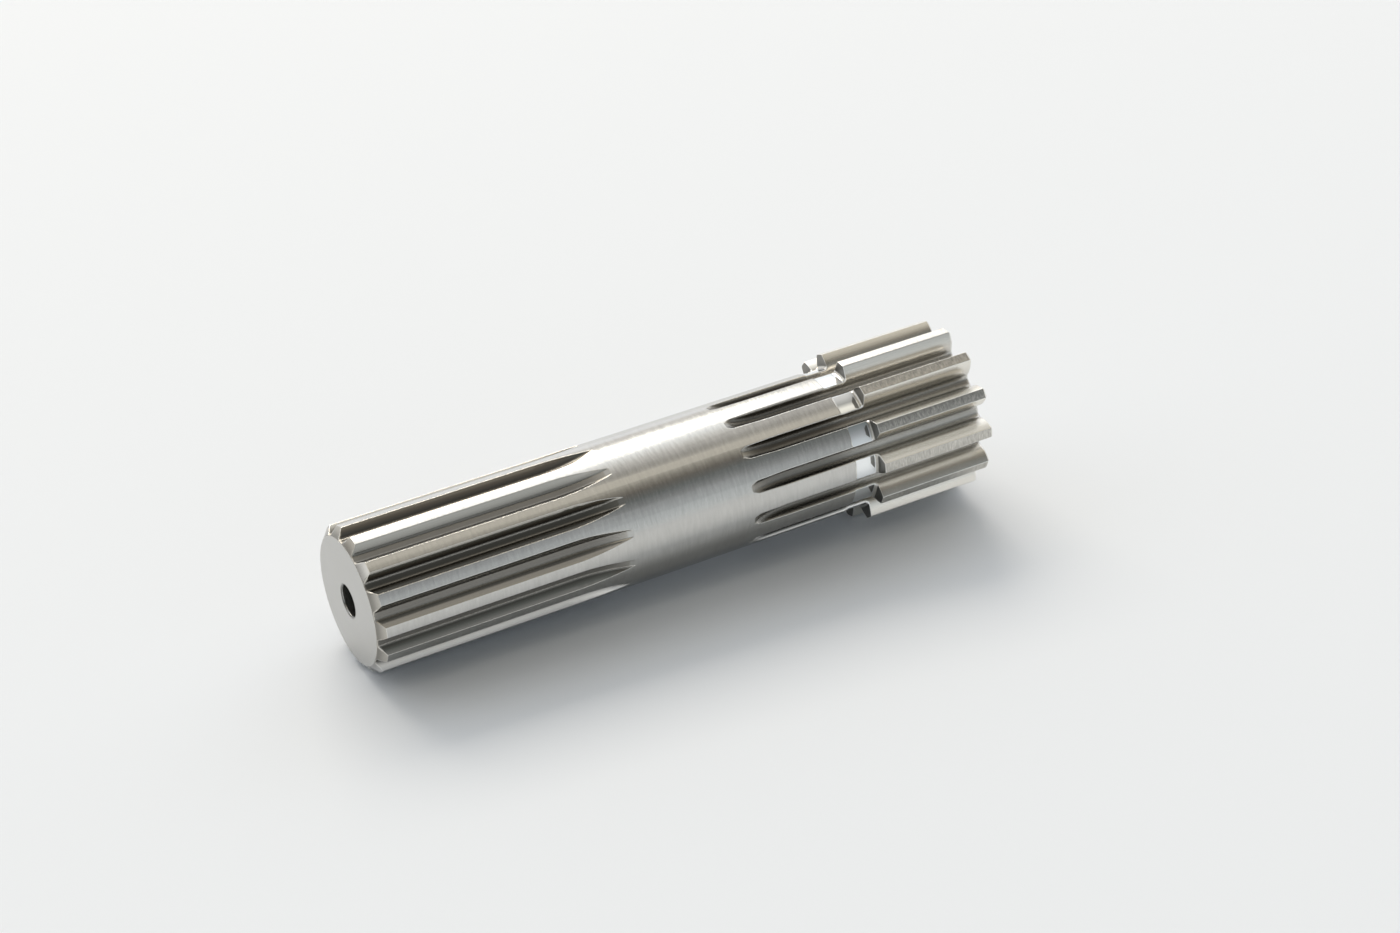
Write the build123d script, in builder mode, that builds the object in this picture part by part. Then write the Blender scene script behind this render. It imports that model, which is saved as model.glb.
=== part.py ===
"""Sun gear shaft of a planetary final drive, cut from one steel bar.

The shaft lies along X. The origin is the centre of the end face at the splined end, +X runs
towards the gear, and +Z is up when the shaft lies on its side. Sizes are in millimetres and
angles in degrees.
"""

import os
from math import acos, atan2, cos, degrees, pi, radians, sin, tan

from build123d import *

# Whole shaft
overall_length = 216.5
shaft_diameter = 47.4

# Spline: involute teeth whose tips are the shaft's own surface. The profile shift, the tooth
# heights and the tooth thickness are in modules, here and for the gear
spline_teeth = 14
spline_pressure_angle = 30.0
spline_profile_shift = 0.45
spline_addendum = 0.45
spline_dedendum = 0.517
spline_tooth_thickness = 2.233
spline_root_chamfer = 0.4
spline_edge_break = 0.15
spline_length = 86.5
spline_runout = 20.0
spline_bevel_length = 2.3
spline_bevel_height = 3.05
spline_gap_angle = 175.15

# Gear: each of its tooth gaps runs on into the shaft as a groove
gear_teeth = 13
gear_pressure_angle = 20.0
gear_profile_shift = 0.2
gear_addendum = 0.7667
gear_dedendum = 1.25
gear_rise = 4.3
gear_root_chamfer = 0.9
gear_edge_break = 0.3
gear_end_bevel = 0.8
gear_end_chamfer = 0.7
gear_width = 41.5
gear_groove_length = 46.0
gear_runout = 14.0
gear_gap_angle = 180.0

# Polished relief band between the shaft and the gear
band_width = 8.0
band_step = 0.35
band_fillet = 1.2

# Centre hole in each end
hole_diameter = 10.2
hole_depth = 26.0
hole_countersink = 0.4
drill_point_angle = 118.0

# How far a cutter reaches past the metal that it clears
cutter_overreach = 1.5

# Points that carry one involute flank
flank_points = 5

# Sizes that follow from the ones above
shaft_radius = shaft_diameter / 2
spline_module = shaft_diameter / (spline_teeth + 2 * (spline_profile_shift + spline_addendum))
spline_root_radius = spline_module * (spline_teeth / 2 + spline_profile_shift - spline_dedendum)
spline_full_depth_end = spline_length - spline_runout

gear_start = overall_length - gear_width
gear_tip_radius = shaft_radius + gear_rise
gear_module = 2 * gear_tip_radius / (gear_teeth + 2 * (gear_profile_shift + gear_addendum))
gear_root_radius = gear_module * (gear_teeth / 2 + gear_profile_shift - gear_dedendum)
gear_tooth_thickness = pi / 2 + 2 * gear_profile_shift * tan(radians(gear_pressure_angle))
gear_full_depth_start = gear_start - gear_groove_length + gear_runout

band_radius = shaft_radius - band_step
band_start = gear_start - band_width


def involute(angle):
    """Involute function of an angle in radians."""
    return tan(angle) - angle


def polar(radius, angle):
    """Point of a cross-section, at an angle in radians from its upright axis."""
    return (radius * sin(angle), radius * cos(angle))


def tooth_gap(
    plane, teeth, module, pressure_angle, tooth_thickness, root_radius, tip_radius, root_chamfer, edge_break
):
    """Section of one tooth gap, upright on its plane and open past the tooth tips.

    The bottom is flat with bevelled corners, as a form cutter leaves it. The flanks are
    involutes, run straight below the base circle, and flare at 45 degrees to break the edge.
    """
    reference_radius = teeth * module / 2
    pressure = radians(pressure_angle)
    base_radius = reference_radius * cos(pressure)

    def flank(radius):
        local_pressure = acos(base_radius / radius)
        half_tooth = tooth_thickness / teeth + involute(pressure) - involute(local_pressure)
        return polar(radius, pi / teeth - half_tooth)

    corner_radius = root_radius + root_chamfer
    lowest = max(corner_radius, base_radius)
    step = (tip_radius - edge_break - lowest) / (flank_points - 1)
    curve = [flank(lowest + step * i) for i in range(flank_points)]
    corner = polar(corner_radius, atan2(*curve[0]))
    edge_width, edge_height = curve[-1]
    reach = tip_radius + cutter_overreach - edge_height
    lip = (edge_width + reach, edge_height + reach)

    with BuildSketch(plane) as gap:
        with BuildLine():
            Polyline((0, root_radius), (corner[0] - root_chamfer, root_radius), corner)
            if lowest > corner_radius:
                Line(corner, curve[0])
            Spline(*curve)
            Polyline(curve[-1], lip, (0, lip[1]))
            mirror(about=Plane.YZ)
        make_face()
    return gap.sketch


def spline_gap(x):
    """Section of one spline gap at a place along the shaft."""
    return tooth_gap(
        Plane.YZ.offset(x), spline_teeth, spline_module, spline_pressure_angle, spline_tooth_thickness,
        spline_root_radius, shaft_radius, spline_root_chamfer, spline_edge_break,
    )


def gear_gap(x):
    """Section of one gear gap at a place along the shaft."""
    return tooth_gap(
        Plane.YZ.offset(x), gear_teeth, gear_module, gear_pressure_angle, gear_tooth_thickness,
        gear_root_radius, gear_tip_radius, gear_root_chamfer, gear_edge_break,
    )


def cutter_radius(runout, depth):
    """Radius of the round cutter that leaves a gap of this depth over this length of run-out."""
    return (runout**2 + depth**2) / (2 * depth)


def cutter_swing(radius, depth):
    """Angle through which the cutter turns from full depth until it is clear of the shaft."""
    return degrees(acos(1 - (depth + cutter_overreach) / radius))


def around_shaft(count, first_angle):
    """Places around the shaft's axis for a cut that was made at the top."""
    return [Location((0, 0, 0), (first_angle + 360 / count * i, 0, 0)) for i in range(count)]


# One spline gap: straight in from the end, then out of the shaft on the cutter's arc
spline_depth = shaft_radius - spline_root_radius
spline_cutter_radius = cutter_radius(spline_runout, spline_depth)
spline_section = spline_gap(spline_full_depth_end)
with BuildPart() as spline_cut:
    extrude(spline_section, amount=spline_full_depth_end + cutter_overreach, dir=(-1, 0, 0))
    revolve(
        spline_section,
        axis=Axis((spline_full_depth_end, 0, spline_root_radius + spline_cutter_radius), (0, -1, 0)),
        revolution_arc=cutter_swing(spline_cutter_radius, spline_depth),
    )

# One gear gap: into the shaft on the cutter's arc, straight through the gear, and flared at
# the outer face to chamfer the ends of the teeth
gear_groove_depth = shaft_radius - gear_root_radius
gear_cutter_radius = cutter_radius(gear_runout, gear_groove_depth)
gear_section = gear_gap(gear_full_depth_start)
gear_chamfer_start = overall_length - gear_end_chamfer
with BuildPart() as gear_cut:
    extrude(gear_section, amount=overall_length + cutter_overreach - gear_full_depth_start, dir=(1, 0, 0))
    revolve(
        gear_section,
        axis=Axis((gear_full_depth_start, 0, gear_root_radius + gear_cutter_radius), (0, 1, 0)),
        revolution_arc=cutter_swing(gear_cutter_radius, gear_groove_depth),
    )
    extrude(gear_gap(gear_chamfer_start), amount=2 * gear_end_chamfer, dir=(1, 0, 0), taper=-45)

# One centre hole: countersunk mouth, plain wall and the drill's point
hole_radius = hole_diameter / 2
drill_point_length = hole_radius / tan(radians(drill_point_angle / 2))
with BuildPart() as centre_hole:
    with BuildSketch(Plane.XZ):
        with BuildLine():
            Polyline(
                (0, 0),
                (0, hole_radius + hole_countersink),
                (hole_countersink, hole_radius),
                (hole_depth, hole_radius),
                (hole_depth + drill_point_length, 0),
                close=True,
            )
        make_face()
    revolve(axis=Axis.X)

with BuildPart() as sun_gear_shaft:
    # Turned blank
    with BuildSketch(Plane.XZ) as half_section:
        with BuildLine():
            Polyline(
                (0, 0),
                (0, shaft_radius - spline_bevel_height),
                (spline_bevel_length, shaft_radius),
                (band_start - band_step, shaft_radius),
                (band_start, band_radius),
                (gear_start, band_radius),
                (gear_start, gear_tip_radius),
                (overall_length - gear_end_bevel, gear_tip_radius),
                (overall_length, gear_tip_radius - gear_end_bevel),
                (overall_length, 0),
                close=True,
            )
        make_face()
        gear_face = half_section.vertices().filter_by_position(Axis.X, gear_start, gear_start)
        fillet(gear_face.sort_by(Axis.Y)[0], radius=band_fillet)
    revolve(axis=Axis.X)

    # Teeth and grooves
    with Locations(*around_shaft(spline_teeth, spline_gap_angle)):
        add(spline_cut.part, mode=Mode.SUBTRACT)
    with Locations(*around_shaft(gear_teeth, gear_gap_angle)):
        add(gear_cut.part, mode=Mode.SUBTRACT)

    # Centre holes
    with Locations(Location((0, 0, 0)), Location((overall_length, 0, 0), (0, 0, 180))):
        add(centre_hole.part, mode=Mode.SUBTRACT)

sun_gear_shaft.part.label = "sun_gear_shaft"

os.makedirs("parts", exist_ok=True)
export_step(sun_gear_shaft.part, "parts/sun_gear_shaft.step")
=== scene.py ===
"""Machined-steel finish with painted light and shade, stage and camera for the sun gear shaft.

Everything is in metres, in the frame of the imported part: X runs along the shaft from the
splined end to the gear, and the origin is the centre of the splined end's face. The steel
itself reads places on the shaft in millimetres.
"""

from math import cos, radians, sin

import bpy
from mathutils import Matrix, Quaternion, Vector


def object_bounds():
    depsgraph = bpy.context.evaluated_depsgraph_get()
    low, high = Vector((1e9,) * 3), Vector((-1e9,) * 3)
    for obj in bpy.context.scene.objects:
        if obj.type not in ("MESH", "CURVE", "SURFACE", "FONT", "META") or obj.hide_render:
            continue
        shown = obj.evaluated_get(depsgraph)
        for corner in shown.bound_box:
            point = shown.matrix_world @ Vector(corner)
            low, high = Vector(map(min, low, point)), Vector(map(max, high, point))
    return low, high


bl_info = {
    "name": "Sun gear shaft finish",
    "version": (1, 0, 0),
    "blender": (4, 5, 0),
    "location": "View3D > Sidebar > Sun gear shaft",
    "description": "Gives the sun gear shaft its machined steel and sets its studio",
    "category": "Object",
}

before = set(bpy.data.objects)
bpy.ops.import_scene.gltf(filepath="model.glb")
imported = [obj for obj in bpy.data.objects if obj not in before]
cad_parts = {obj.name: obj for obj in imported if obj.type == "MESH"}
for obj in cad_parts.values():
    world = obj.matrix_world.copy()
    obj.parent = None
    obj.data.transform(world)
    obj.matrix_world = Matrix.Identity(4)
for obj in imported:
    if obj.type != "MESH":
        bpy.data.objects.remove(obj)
box_at_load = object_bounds()

SHAFT_NODE = "sun_gear_shaft"

# Millimetres in a metre
MILLIMETRES = 1000.0

# Places of the sockets of a Mix node that carry its colours
MIX_LOW = 6
MIX_HIGH = 7
MIX_RESULT = 2

# Sizes of the shaft that the finish follows, in millimetres
SHAFT_RADIUS = 23.7
SPLINE_ROOT_RADIUS = 20.8
GEAR_TIP_RADIUS = 28.0
GEAR_ROOT_RADIUS = 20.44
HOLE_RADIUS = 5.1
SHANK_MIDDLE = 108.0
GEAR_START = 175.0
BAND_WIDTH = 8.0

# Edges of the masks in millimetres: where each is 0 and 1, and how soft a stretch's ends are
TURNED_RADIUS = (23.1, 23.25)
HOLE_EDGE = (HOLE_RADIUS + 0.3, HOLE_RADIUS + 0.8)
BAND_STRETCH = (GEAR_START - BAND_WIDTH, GEAR_START, 0.05)
SHOULDER_STRETCH = (GEAR_START - 0.5, GEAR_START + 0.5, 0.2)
TIPS_START = (GEAR_START - 0.4, GEAR_START + 0.4)
GEAR_TONE_START = (GEAR_START - 14.0, GEAR_START + 4.0)
GEAR_SIDE_START = (SHANK_MIDDLE - 1.0, SHANK_MIDDLE + 1.0)
GROOVES_END = (GEAR_START - 20.0, GEAR_START - 6.0)
BACK_START = (-8.0, 8.0)
LOW_END = (-15.0, -9.0)
SECOND_TOOTH_STRETCH = (-13.0, -1.0, 1.5)
SECOND_TOOTH_HEIGHT = (19.0, 23.0)

# Edges of the masks that tell how squarely a surface faces out, along the shaft or down
TURNED_SLOPE = (0.9, 0.985)
END_FACE_SLOPE = (0.9, 0.97)
COUNTERSINK_SLOPE = (0.4, 0.6)
UNDERSIDE_SLOPE = (0.1, 0.4)

# Share of a gap's depth over which its flanks turn into its bottom
ROOT_DEPTH = (0.3, 0.7)

# Corners and edges are told by how open they are to the air, and how far their normal turns
CORNER_REACH = 0.004
CORNER_OPENNESS = (0.45, 0.98)
EDGE_OPENNESS = (0.7, 0.9)
EDGE_TURN = (0.01, 0.08)
RAY_SAMPLES = 8

# Least radius that a place is divided by, in millimetres, so that the axis itself is safe
LEAST_RADIUS = 0.01

# Roughness that each place has above the flanks of the teeth, and what patterns add to it
ROUGHER = {
    "on_gear": 0.11,
    "end_face": 0.15,
    "hole": 0.1,
    "band": -0.10,
    "spline_flanks": -0.03,
    "shank": 0.05,
}
CLOUD_ROUGHNESS = 0.06
RING_ROUGHNESS = 0.12

# Brightness that each place has above plain steel, and what patterns and places add to it
BRIGHTER = {
    "shank": 0.04,
    "end_face": -0.05,
    # Painted shade in the countersink
    "countersink": -0.6,
    "tips": -0.3,
    "gear_flanks": 0.1,
}
MOTTLE_CONTRAST = 1.1
GRAIN_CONTRAST = 0.15
# Painted light on the gear's tips towards the back
BACK_TIPS_PAINTED_LIGHT = 0.4
# Painted shade on the spline's flanks, and painted light on the lowest of them
SPLINE_FLANKS_PAINTED_SHADE = 0.15
LOW_FLANKS_PAINTED_LIGHT = 0.38

# Painted shade: share of its brightness that each place loses, before and after the painted highlight on
# its edges
PAINTED_SHADE_BEFORE_EDGE_HIGHLIGHT = {"shoulder": 0.65, "hole": 0.1}
PAINTED_SHADE_AFTER_EDGE_HIGHLIGHT = {"underside_painted_shade": 0.35, "second_tooth_painted_shade": 0.12, "grooves": 0.3}

# Share of its painted corner shade that each place loses
LIGHTER_CORNERS = {"gear_side": 0.35, "hole": 0.6}

# Large soft lamp behind the shaft: where it stands from the shaft's middle, and its sides
KEY_DIRECTION = (0.06, 0.75, 0.66)
KEY_DISTANCE = 4.5
KEY_SIZE = (3.3, 1.7)

# Light of the studio around the shaft: degrees from overhead towards the camera, and colour
STUDIO = [
    (-180, (0.80, 0.80, 0.80)),
    (-90, (1.25, 1.28, 1.36)),
    (-76, (0.80, 0.78, 0.74)),
    (-66, (0.96, 0.97, 0.96)),
    (-57, (1.27, 1.30, 1.34)),
    (-41, (1.41, 1.45, 1.51)),
    (-30, (1.27, 1.30, 1.32)),
    (-20, (0.98, 0.98, 0.94)),
    (-8, (0.65, 0.63, 0.60)),
    (3, (0.39, 0.38, 0.35)),
    (11, (0.97, 0.92, 0.81)),
    (19, (0.50, 0.48, 0.42)),
    (32, (0.17, 0.15, 0.13)),
    (46, (0.17, 0.19, 0.19)),
    (58, (0.34, 0.35, 0.36)),
    (72, (0.60, 0.64, 0.66)),
    (90, (0.77, 0.81, 0.83)),
    (180, (0.80, 0.80, 0.80)),
]

# Width of the camera's sensor in millimetres, and how near and far it sees, in metres
SENSOR_WIDTH = 36.0
SEEN_FROM = 0.01
SEEN_TO = 50.0


def colour(values):
    """Colour with its alpha, as sockets and ramps take it."""
    return (*values, 1.0)


class Wire:
    """One socket of a node tree, with arithmetic that adds Math nodes."""

    def __init__(self, tree, socket):
        self.tree = tree
        self.socket = socket

    def __add__(self, other):
        return self.tree.math("ADD", self, other)

    def __radd__(self, other):
        return self.tree.math("ADD", other, self)

    def __sub__(self, other):
        return self.tree.math("SUBTRACT", self, other)

    def __rsub__(self, other):
        return self.tree.math("SUBTRACT", other, self)

    def __mul__(self, other):
        return self.tree.math("MULTIPLY", self, other)

    def __rmul__(self, other):
        return self.tree.math("MULTIPLY", other, self)

    def __truediv__(self, other):
        return self.tree.math("DIVIDE", self, other)

    def __neg__(self):
        return self.tree.math("MULTIPLY", self, -1.0)


class Tree:
    """The nodes of one material or world."""

    def __init__(self, owner):
        owner.use_nodes = True
        self.nodes = owner.node_tree.nodes
        self.links = owner.node_tree.links
        self.nodes.clear()

    def node(self, kind, settings=None, inputs=None):
        """Adds a node: its settings first, then the values or links of its sockets."""
        made = self.nodes.new(kind)
        for name, value in (settings or {}).items():
            if name == "stops":
                ramp = made.color_ramp
                while len(ramp.elements) < len(value):
                    ramp.elements.new(1.0)
                for element, (place, tone) in zip(ramp.elements, value):
                    element.position = place
                    element.color = colour(tone)
            else:
                setattr(made, name, value)
        for name, value in (inputs or {}).items():
            if isinstance(value, Wire):
                self.links.new(value.socket, made.inputs[name])
            else:
                made.inputs[name].default_value = value
        return made

    def out(self, made, output=0):
        """One output of a node, by its name or its place."""
        return Wire(self, made.outputs[output])

    def math(self, operation, *values):
        inputs = dict(enumerate(values))
        return self.out(self.node("ShaderNodeMath", {"operation": operation}, inputs))

    def step(self, value, low, high):
        """0 at low, 1 at high, smooth between them."""
        settings = {"interpolation_type": "SMOOTHSTEP"}
        inputs = {"Value": value, "From Min": low, "From Max": high}
        return self.out(self.node("ShaderNodeMapRange", settings, inputs))

    def stretch(self, value, low, high, soft):
        """1 between low and high, with soft ends."""
        start = self.step(value, low - soft, low + soft)
        end = self.step(value, high - soft, high + soft)
        return start * (1 - end)

    def mix(self, factor, low, high):
        """Colour between low and high."""
        inputs = {0: factor, MIX_LOW: low, MIX_HIGH: high}
        return self.out(self.node("ShaderNodeMix", {"data_type": "RGBA"}, inputs), MIX_RESULT)

    def scaled(self, tone, factor):
        """Colour times a number."""
        inputs = {"Vector": tone, "Scale": factor}
        return self.out(self.node("ShaderNodeVectorMath", {"operation": "SCALE"}, inputs))

    def dot(self, one, other):
        """How nearly two directions agree: 1 where they are the same."""
        inputs = {0: one, 1: other}
        made = self.node("ShaderNodeVectorMath", {"operation": "DOT_PRODUCT"}, inputs)
        return self.out(made, "Value")

    def vector(self, x, y, z):
        return self.out(self.node("ShaderNodeCombineXYZ", None, {"X": x, "Y": y, "Z": z}))

    def split(self, vector):
        made = self.node("ShaderNodeSeparateXYZ", None, {"Vector": vector})
        return [self.out(made, index) for index in range(3)]

    def noise(self, where, scale, detail, rough):
        inputs = {"Vector": where, "Scale": scale, "Detail": detail, "Roughness": rough}
        return self.out(self.node("ShaderNodeTexNoise", None, inputs))


class ShaftSurface:
    """What the steel knows of each point of the shaft: its place, its normal, a mask from 0 to
    1 for each kind of surface and each place, and the patterns that machining left."""

    def __init__(self, tree, finish):
        self.tree = tree
        self.place = tree.out(tree.node("ShaderNodeTexCoord"), "Object")
        x, y, z = [part * MILLIMETRES for part in tree.split(self.place)]
        self.y, self.z = y, z
        self.radius = tree.math("SQRT", y * y + z * z)
        self.normal = tree.out(tree.node("ShaderNodeNewGeometry"), "Normal")
        normal_x, normal_y, normal_z = tree.split(self.normal)
        outward = (normal_y * y + normal_z * z) / tree.math("MAXIMUM", self.radius, LEAST_RADIUS)
        lengthwise = tree.math("ABSOLUTE", normal_x)

        # Faced ends, and what was turned: the polished band, the gear's tips and the shank
        self.end_face = tree.step(lengthwise, *END_FACE_SLOPE)
        turned = tree.step(outward, *TURNED_SLOPE) * tree.step(self.radius, *TURNED_RADIUS)
        turned = turned * (1 - self.end_face)
        self.band = turned * tree.stretch(x, *BAND_STRETCH)
        self.tips = turned * tree.step(x, *TIPS_START)
        self.shank = turned * (1 - self.band) * (1 - self.tips)
        self.shoulder = self.end_face * tree.stretch(x, *SHOULDER_STRETCH)

        # Centre holes with their countersinks, and what was cut between the teeth
        self.hole = 1 - tree.step(self.radius, *HOLE_EDGE)
        self.countersink = self.hole * tree.step(lengthwise, *COUNTERSINK_SLOPE)
        self.cut = (1 - turned) * (1 - self.end_face) * (1 - self.hole)
        self.on_gear = self.tips + (1 - turned) * tree.step(x, *GEAR_TONE_START)
        self.gear_flanks = self.cut * self.on_gear
        self.spline_flanks = self.cut * (1 - self.on_gear)
        self.gear_side = tree.step(x, *GEAR_SIDE_START)
        self.grooves = self.cut * self.gear_side * (1 - tree.step(x, *GROOVES_END))

        # Depth below the tips of the teeth: 0 at the tips, 1 at the bottom of the gaps
        self.spline_depth = tree.step(self.radius, SHAFT_RADIUS, SPLINE_ROOT_RADIUS)
        self.gear_depth = tree.step(self.radius, GEAR_TIP_RADIUS, GEAR_ROOT_RADIUS)

        # Places of painted light and shade: painted shade on the lower side of the shank and band and on
        # the second tooth from the top, painted light on the gear's tips towards the back and on the
        # spline's lowest flanks
        self.underside_painted_shade = (self.shank + self.band) * tree.step(-normal_z, *UNDERSIDE_SLOPE)
        self.back_painted_light = tree.step(y, *BACK_START)
        self.low = 1 - tree.step(z, *LOW_END)
        self.second_tooth_painted_shade = self.on_gear * tree.stretch(y, *SECOND_TOOTH_STRETCH)
        self.second_tooth_painted_shade = self.second_tooth_painted_shade * tree.step(z, *SECOND_TOOTH_HEIGHT)

        # Turning rings, grain along the flanks, mottled grinding of the gear's tips, rings of
        # the faced ends, and slow changes of tone
        self.rings = self.streaks(x, finish.ring_density, finish.ring_stretch, detail=3.0, rough=0.65)
        self.grain = self.streaks(x, along=0.03, across=3.0, detail=3.0, rough=0.6)
        self.mottle = self.streaks(x, along=2.2, across=0.6, detail=4.0, rough=0.7)
        self.face_rings = self.streaks(self.radius, along=6.0, across=0.02, detail=2.0, rough=0.5)
        self.cloud = tree.noise(self.place, finish.cloud_scale, detail=3.0, rough=0.55)

    def streaks(self, way, along, across, detail, rough):
        """Noise around 0, that changes so often for each millimetre along one way and across."""
        where = self.tree.vector(way * along, self.y * across, self.z * across)
        return self.tree.noise(where, 1.0, detail, rough) - 0.5

    def of_side(self, spline, gear):
        """The first value on the spline's side of the shank's middle, the second on the gear's."""
        return spline * (1 - self.gear_side) + gear * self.gear_side

    def lessened(self, value, shares):
        """A value, less the share of it that each place loses."""
        for place, share in shares.items():
            value = value * (1 - getattr(self, place) * share)
        return value

    def raised(self, value, amounts):
        """A value, and what each place adds to it."""
        for place, amount in amounts.items():
            value = value + getattr(self, place) * amount
        return value


def softened_normal(tree, at, finish):
    """Outer edges are barely softened, and the bottoms of the gaps run round into the flanks."""
    spline_bottom = tree.step(at.spline_depth, *ROOT_DEPTH)
    gear_bottom = tree.step(at.gear_depth, *ROOT_DEPTH)
    bottom = at.of_side(spline_bottom * finish.spline_root_round, gear_bottom * finish.gear_root_round)
    inputs = {"Radius": finish.edge_radius + bottom * at.cut}
    return tree.out(tree.node("ShaderNodeBevel", {"samples": RAY_SAMPLES}, inputs))


def machined_height(at, finish):
    """Height of the marks that machining left, in millimetres."""
    height = at.shank * at.rings * finish.ring_height
    height = height + at.cut * at.grain * finish.grain_height
    height = height + at.tips * at.mottle * finish.mottle_height
    return height + at.end_face * at.face_rings * finish.face_height


def steel_roughness(at, finish):
    """Each place's own roughness, and what the clouds and the turning rings change in it."""
    roughness = at.raised(finish.roughness, ROUGHER)
    return roughness + (at.cloud - 0.5) * CLOUD_ROUGHNESS + at.rings * at.shank * RING_ROUGHNESS


def steel_tone(tree, at, finish):
    """Colour of the steel before light and shade."""
    tone = tree.mix(at.cloud, colour(finish.steel_low), colour(finish.steel_high))
    tone = tree.mix(at.cut * (1 - at.low), tone, colour(finish.gap_steel))
    tone = tree.mix(at.on_gear, tone, colour(finish.gear_steel))
    return tree.mix(at.band, tone, colour(finish.band_steel))


def steel_brightness(tree, at, finish, softened):
    """Brightness of the steel, with its machining marks and its painted light and shade: 1 is its plain
    tone.
    """
    bright = at.raised(1.0, BRIGHTER) + at.shank * at.rings * finish.ring_contrast
    # Painted light: the gear's tips are lighter towards the back
    bright = bright + at.tips * (at.mottle * MOTTLE_CONTRAST + at.back_painted_light * BACK_TIPS_PAINTED_LIGHT)
    bright = bright + at.cut * at.grain * GRAIN_CONTRAST

    # Painted shade: the spline's flanks are darker and the gaps darker towards the bottom; painted light
    # makes the spline's lowest flanks lighter
    gap_shade = at.of_side(at.spline_depth * finish.gap_shade, at.gear_depth * finish.gear_gap_shade)
    bright = bright * (1 - at.spline_flanks * (SPLINE_FLANKS_PAINTED_SHADE - at.low * LOW_FLANKS_PAINTED_LIGHT))
    bright = bright * (1 - at.cut * gap_shade)
    bright = at.lessened(bright, PAINTED_SHADE_BEFORE_EDGE_HIGHLIGHT)

    # Painted shade darkens the inner corners, and a painted highlight brightens the edges that stand out
    settings = {"samples": RAY_SAMPLES, "only_local": True}
    nearness = tree.node("ShaderNodeAmbientOcclusion", settings, {"Distance": CORNER_REACH})
    open_to_air = tree.out(nearness, "AO")
    corner = (1 - tree.step(open_to_air, *CORNER_OPENNESS)) * finish.corner_shade
    turn = 1 - tree.dot(softened, at.normal)
    painted_edge_highlight = tree.step(turn, *EDGE_TURN) * tree.step(open_to_air, *EDGE_OPENNESS)
    bright = bright * (1 - at.lessened(corner, LIGHTER_CORNERS)) + painted_edge_highlight * finish.edge_highlight

    return at.lessened(bright, PAINTED_SHADE_AFTER_EDGE_HIGHLIGHT)


def steel_material(finish):
    """Machined steel: ring grain on what was turned, and grain along the flanks of the teeth."""
    material = bpy.data.materials.new("machined_steel")
    tree = Tree(material)
    at = ShaftSurface(tree, finish)
    softened = softened_normal(tree, at, finish)
    bump = tree.node("ShaderNodeBump", None, {
        "Height": machined_height(at, finish),
        "Strength": 1.0,
        "Distance": 1 / MILLIMETRES,
        "Normal": softened,
    })
    tone = steel_tone(tree, at, finish)
    shader = tree.node("ShaderNodeBsdfPrincipled", None, {
        "Base Color": tree.scaled(tone, steel_brightness(tree, at, finish, softened)),
        "Roughness": steel_roughness(at, finish),
        "Metallic": 1.0,
        "Normal": tree.out(bump),
    })
    tree.node("ShaderNodeOutputMaterial", None, {"Surface": tree.out(shader)})
    return material


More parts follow.
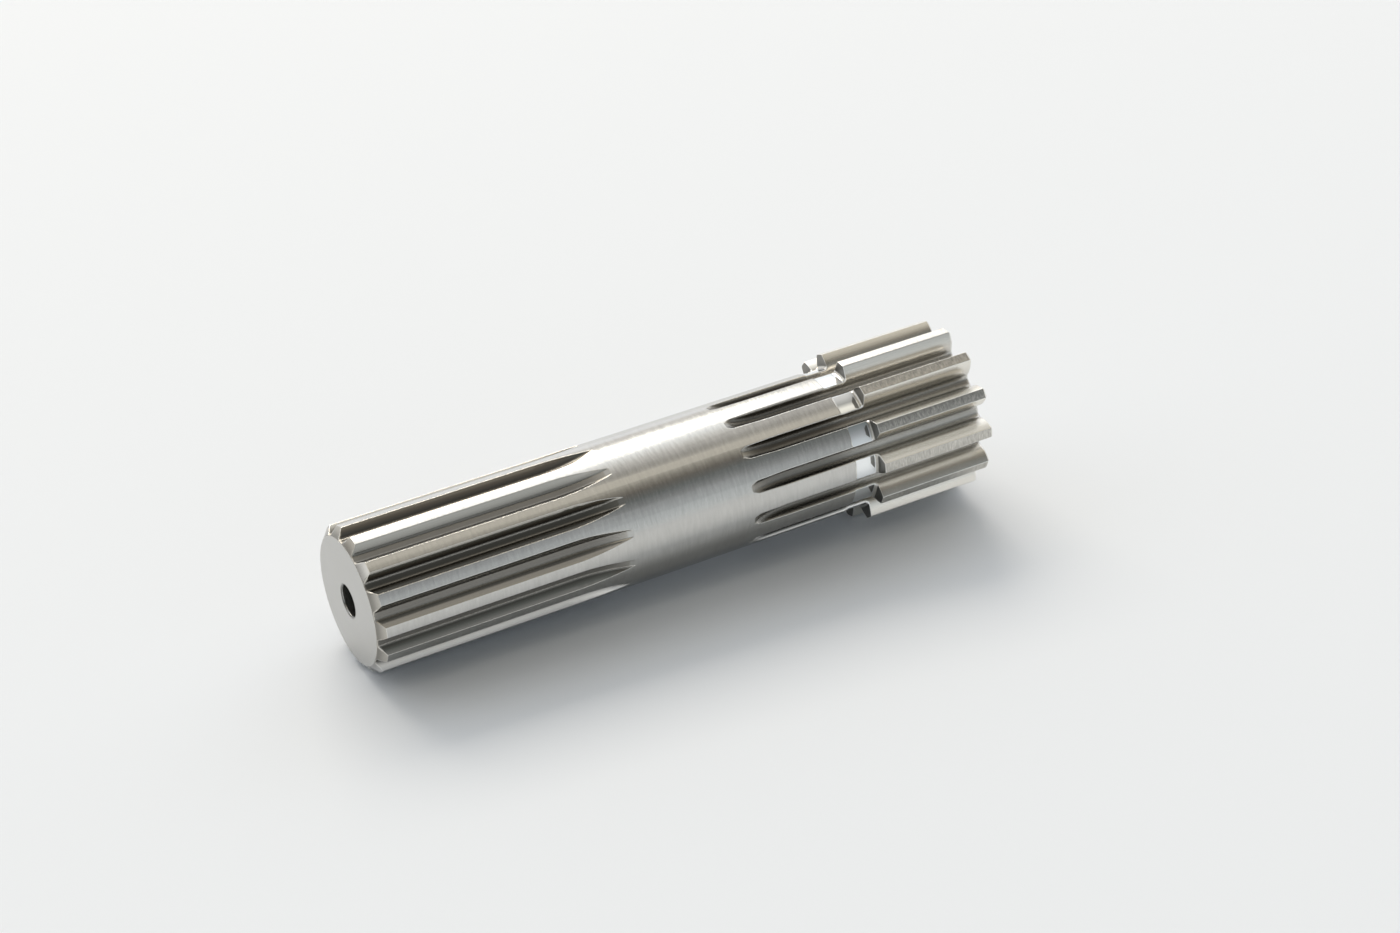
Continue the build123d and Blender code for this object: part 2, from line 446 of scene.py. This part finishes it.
class SteelFinishAndPaintedLight(bpy.types.PropertyGroup):
    steel_low: bpy.props.FloatVectorProperty(
        name="Steel, darker", description="Darker tone of the steel",
        default=(0.52, 0.512, 0.49), subtype="COLOR", size=3, min=0.0, max=1.0,
    )
    steel_high: bpy.props.FloatVectorProperty(
        name="Steel, lighter", description="Lighter tone of the steel",
        default=(0.585, 0.578, 0.555), subtype="COLOR", size=3, min=0.0, max=1.0,
    )
    band_steel: bpy.props.FloatVectorProperty(
        name="Steel, band", description="Cooler tone of the polished relief band",
        default=(0.90, 0.92, 0.925), subtype="COLOR", size=3, min=0.0, max=1.0,
    )
    gap_steel: bpy.props.FloatVectorProperty(
        name="Steel, gaps", description="Warmer tone of the steel in the gaps",
        default=(0.575, 0.55, 0.50), subtype="COLOR", size=3, min=0.0, max=1.0,
    )
    gear_steel: bpy.props.FloatVectorProperty(
        name="Steel, gear", description="Warmer tone of the ground gear",
        default=(0.76, 0.735, 0.68), subtype="COLOR", size=3, min=0.0, max=1.0,
    )
    cloud_scale: bpy.props.FloatProperty(
        name="Cloud scale", description="How fine the slow changes of tone are", default=60.0,
    )
    roughness: bpy.props.FloatProperty(
        name="Roughness", description="Roughness of the flanks, before each place's own share",
        default=0.15, subtype="FACTOR",
    )
    ring_density: bpy.props.FloatProperty(
        name="Ring density", description="Turning rings for each millimetre along the shaft",
        default=1.2,
    )
    ring_stretch: bpy.props.FloatProperty(
        name="Ring stretch", description="Changes for each millimetre around the shaft",
        default=0.18,
    )
    ring_height: bpy.props.FloatProperty(
        name="Ring height", description="Height of the turning rings, in millimetres",
        default=0.02,
    )
    ring_contrast: bpy.props.FloatProperty(
        name="Ring contrast", description="How much lighter and darker the turning rings are",
        default=0.36,
    )
    grain_height: bpy.props.FloatProperty(
        name="Grain height", description="Height of the grain along the teeth, in millimetres",
        default=0.006,
    )
    mottle_height: bpy.props.FloatProperty(
        name="Mottle height", description="Height of the marks on the gear's tips, in millimetres",
        default=0.03,
    )
    face_height: bpy.props.FloatProperty(
        name="Face ring height", description="Height of the rings of the faced ends, in millimetres",
        default=0.004,
    )
    # Painted shade at the bottoms of the gaps
    gap_shade: bpy.props.FloatProperty(
        name="Gap shade", description="How much darker the bottoms of the spline's gaps are",
        default=0.48, subtype="FACTOR",
    )
    gear_gap_shade: bpy.props.FloatProperty(
        name="Gear gap shade", description="How much darker the bottoms of the gear's gaps are",
        default=0.25, subtype="FACTOR",
    )
    # Painted shade in the inner corners
    corner_shade: bpy.props.FloatProperty(
        name="Corner shade", description="How much darker the inner corners are",
        default=0.88, subtype="FACTOR",
    )
    # Painted highlight on the outer edges
    edge_highlight: bpy.props.FloatProperty(
        name="Edge wear", description="How much brighter the outer edges are", default=0.8,
    )
    edge_radius: bpy.props.FloatProperty(
        name="Edge radius", description="Radius of the softened edges",
        default=0.0003, unit="LENGTH",
    )
    spline_root_round: bpy.props.FloatProperty(
        name="Spline root round", description="Rounding at the bottoms of the spline's gaps",
        default=0.0007, unit="LENGTH",
    )
    gear_root_round: bpy.props.FloatProperty(
        name="Gear root round", description="Rounding at the bottoms of the gear's gaps",
        default=0.0014, unit="LENGTH",
    )


class StageSetup(bpy.types.PropertyGroup):
    floor_colour: bpy.props.FloatVectorProperty(
        name="Floor", description="Colour of the floor",
        default=(0.828, 0.863, 0.912), subtype="COLOR", size=3, min=0.0, max=1.0,
    )
    floor_size: bpy.props.FloatProperty(
        name="Floor size", description="Side of the square floor", default=8.0, unit="LENGTH",
    )
    backdrop_colour: bpy.props.FloatVectorProperty(
        name="Backdrop", description="Colour that the camera sees past the floor",
        default=(0.86, 0.86, 0.85), subtype="COLOR", size=3, min=0.0, max=1.0,
    )
    rest_tilt: bpy.props.FloatProperty(
        name="Rest tilt", description="How far the axis is tipped up towards the gear as the shaft rests",
        default=radians(1.267), subtype="ANGLE",
    )
    rest_height: bpy.props.FloatProperty(
        name="Rest height", description="Height of the origin above the floor",
        default=0.02359, unit="LENGTH",
    )
    key_power: bpy.props.FloatProperty(
        name="Key power", description="Power of the large lamp behind the shaft, in watts",
        default=97.0,
    )
    key_colour: bpy.props.FloatVectorProperty(
        name="Key colour", description="Colour of the large lamp's light",
        default=(1.06, 0.947, 0.79), subtype="COLOR", size=3, min=0.0,
    )
    camera_place: bpy.props.FloatVectorProperty(
        name="Camera", description="Place of the camera",
        default=(-0.25051, -0.67923, 0.52015), subtype="TRANSLATION", size=3,
    )
    camera_azimuth: bpy.props.FloatProperty(
        name="Azimuth", description="Side from which the camera looks; 0 looks along +Y",
        default=radians(-28.786), subtype="ANGLE",
    )
    camera_elevation: bpy.props.FloatProperty(
        name="Elevation", description="Height from which the camera looks",
        default=radians(33.534), subtype="ANGLE",
    )
    camera_roll: bpy.props.FloatProperty(
        name="Roll", description="Turn of the camera about its own line of sight",
        default=radians(-1.44), subtype="ANGLE",
    )
    focal_length: bpy.props.FloatProperty(
        name="Focal length", description="Focal length in millimetres on a 36 mm wide sensor",
        default=75.10,
    )


class DressShaft(bpy.types.Operator):
    """Give the shaft its machined steel"""

    bl_idname = "sungear.dress_shaft"
    bl_label = "Dress the shaft"

    def execute(self, context):
        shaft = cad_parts[SHAFT_NODE]
        material = steel_material(context.scene.steel_finish)
        for slot in shaft.material_slots:
            slot.material = material
        return {"FINISHED"}


def make_floor(setup):
    """Pale floor that the shaft rests on, tipped as the shaft's own frame is."""
    up = Vector((sin(setup.rest_tilt), 0.0, cos(setup.rest_tilt)))
    bpy.ops.mesh.primitive_plane_add(size=setup.floor_size)
    floor = bpy.context.object
    floor.name = "floor"
    floor.rotation_mode = "QUATERNION"
    floor.rotation_quaternion = Vector((0, 0, 1)).rotation_difference(up)
    floor.location = -up * setup.rest_height
    material = bpy.data.materials.new("floor_paper")
    tree = Tree(material)
    shader = tree.node("ShaderNodeBsdfPrincipled", None, {
        "Base Color": colour(setup.floor_colour),
        "Roughness": 0.9,
        "Specular IOR Level": 0.1,
    })
    tree.node("ShaderNodeOutputMaterial", None, {"Surface": tree.out(shader)})
    floor.data.materials.append(material)


def make_key_lamp(setup, aim):
    """Large soft lamp behind the shaft, facing its middle, with its long side along X."""
    data = bpy.data.lights.new("key", "AREA")
    data.shape = "RECTANGLE"
    data.size, data.size_y = KEY_SIZE
    data.energy = setup.key_power
    data.color = setup.key_colour
    lamp = bpy.data.objects.new("key", data)
    bpy.context.scene.collection.objects.link(lamp)
    away = Vector(KEY_DIRECTION).normalized()
    side = (Vector((1, 0, 0)) - away * away.x).normalized()
    lamp.location = aim + away * KEY_DISTANCE
    lamp.rotation_mode = "QUATERNION"
    lamp.rotation_quaternion = Matrix((side, away.cross(side), away)).transposed().to_quaternion()


def make_world(setup):
    """The studio's light around the shaft, and a plain backdrop where the camera sees it."""
    world = bpy.data.worlds.new("studio")
    bpy.context.scene.world = world
    tree = Tree(world)
    direction = tree.out(tree.node("ShaderNodeTexCoord"), "Generated")
    _, back, up = tree.split(direction)
    angle = tree.math("ARCTAN2", -back, up)
    stops = [(0.5 + degrees / 360, tone) for degrees, tone in STUDIO]
    dome = tree.node("ShaderNodeValToRGB", {"stops": stops}, {"Fac": angle / radians(360) + 0.5})
    light = tree.node("ShaderNodeBackground", None, {"Color": tree.out(dome)})
    seen = tree.node("ShaderNodeBackground", None, {"Color": colour(setup.backdrop_colour)})
    is_camera = tree.out(tree.node("ShaderNodeLightPath"), "Is Camera Ray")
    inputs = {0: is_camera, 1: tree.out(light), 2: tree.out(seen)}
    shown = tree.node("ShaderNodeMixShader", None, inputs)
    tree.node("ShaderNodeOutputWorld", None, {"Surface": tree.out(shown)})


def make_camera(setup):
    """Camera at the photograph's viewing angle."""
    data = bpy.data.cameras.new("camera")
    data.lens = setup.focal_length
    data.sensor_width = SENSOR_WIDTH
    data.clip_start, data.clip_end = SEEN_FROM, SEEN_TO
    camera = bpy.data.objects.new("camera", data)
    bpy.context.scene.collection.objects.link(camera)
    azimuth, elevation = setup.camera_azimuth, setup.camera_elevation
    back = Vector((sin(azimuth) * cos(elevation), -cos(azimuth) * cos(elevation), sin(elevation)))
    roll = Quaternion((0, 0, 1), setup.camera_roll)
    camera.location = setup.camera_place
    camera.rotation_mode = "QUATERNION"
    camera.rotation_quaternion = (-back).to_track_quat("-Z", "Y") @ roll
    bpy.context.scene.camera = camera


class SetStage(bpy.types.Operator):
    """Set the floor, the lamp, the studio's light and the camera"""

    bl_idname = "sungear.set_stage"
    bl_label = "Set the stage"

    def execute(self, context):
        scene = context.scene
        scene.view_settings.view_transform = "Standard"
        low, high = box_at_load
        make_floor(scene.stage_setup)
        make_key_lamp(scene.stage_setup, (low + high) / 2)
        make_world(scene.stage_setup)
        make_camera(scene.stage_setup)
        return {"FINISHED"}


class SunGearPanel(bpy.types.Panel):
    bl_idname = "VIEW3D_PT_sun_gear_shaft"
    bl_label = "Sun gear shaft"
    bl_space_type = "VIEW_3D"
    bl_region_type = "UI"
    bl_category = "Sun gear shaft"

    def draw(self, context):
        scene = context.scene
        for operator, settings in ((DressShaft, scene.steel_finish), (SetStage, scene.stage_setup)):
            part = self.layout.box()
            for name in settings.__annotations__:
                part.prop(settings, name)
            part.operator(operator.bl_idname)


CLASSES = (SteelFinishAndPaintedLight, StageSetup, DressShaft, SetStage, SunGearPanel)


def register():
    for made in CLASSES:
        bpy.utils.register_class(made)
    bpy.types.Scene.steel_finish = bpy.props.PointerProperty(type=SteelFinishAndPaintedLight)
    bpy.types.Scene.stage_setup = bpy.props.PointerProperty(type=StageSetup)


def unregister():
    del bpy.types.Scene.stage_setup
    del bpy.types.Scene.steel_finish
    for made in reversed(CLASSES):
        bpy.utils.unregister_class(made)


def main():
    register()
    bpy.ops.sungear.dress_shaft()
    bpy.ops.sungear.set_stage()
    bpy.context.view_layer.update()


if __name__ == "__main__":
    main()
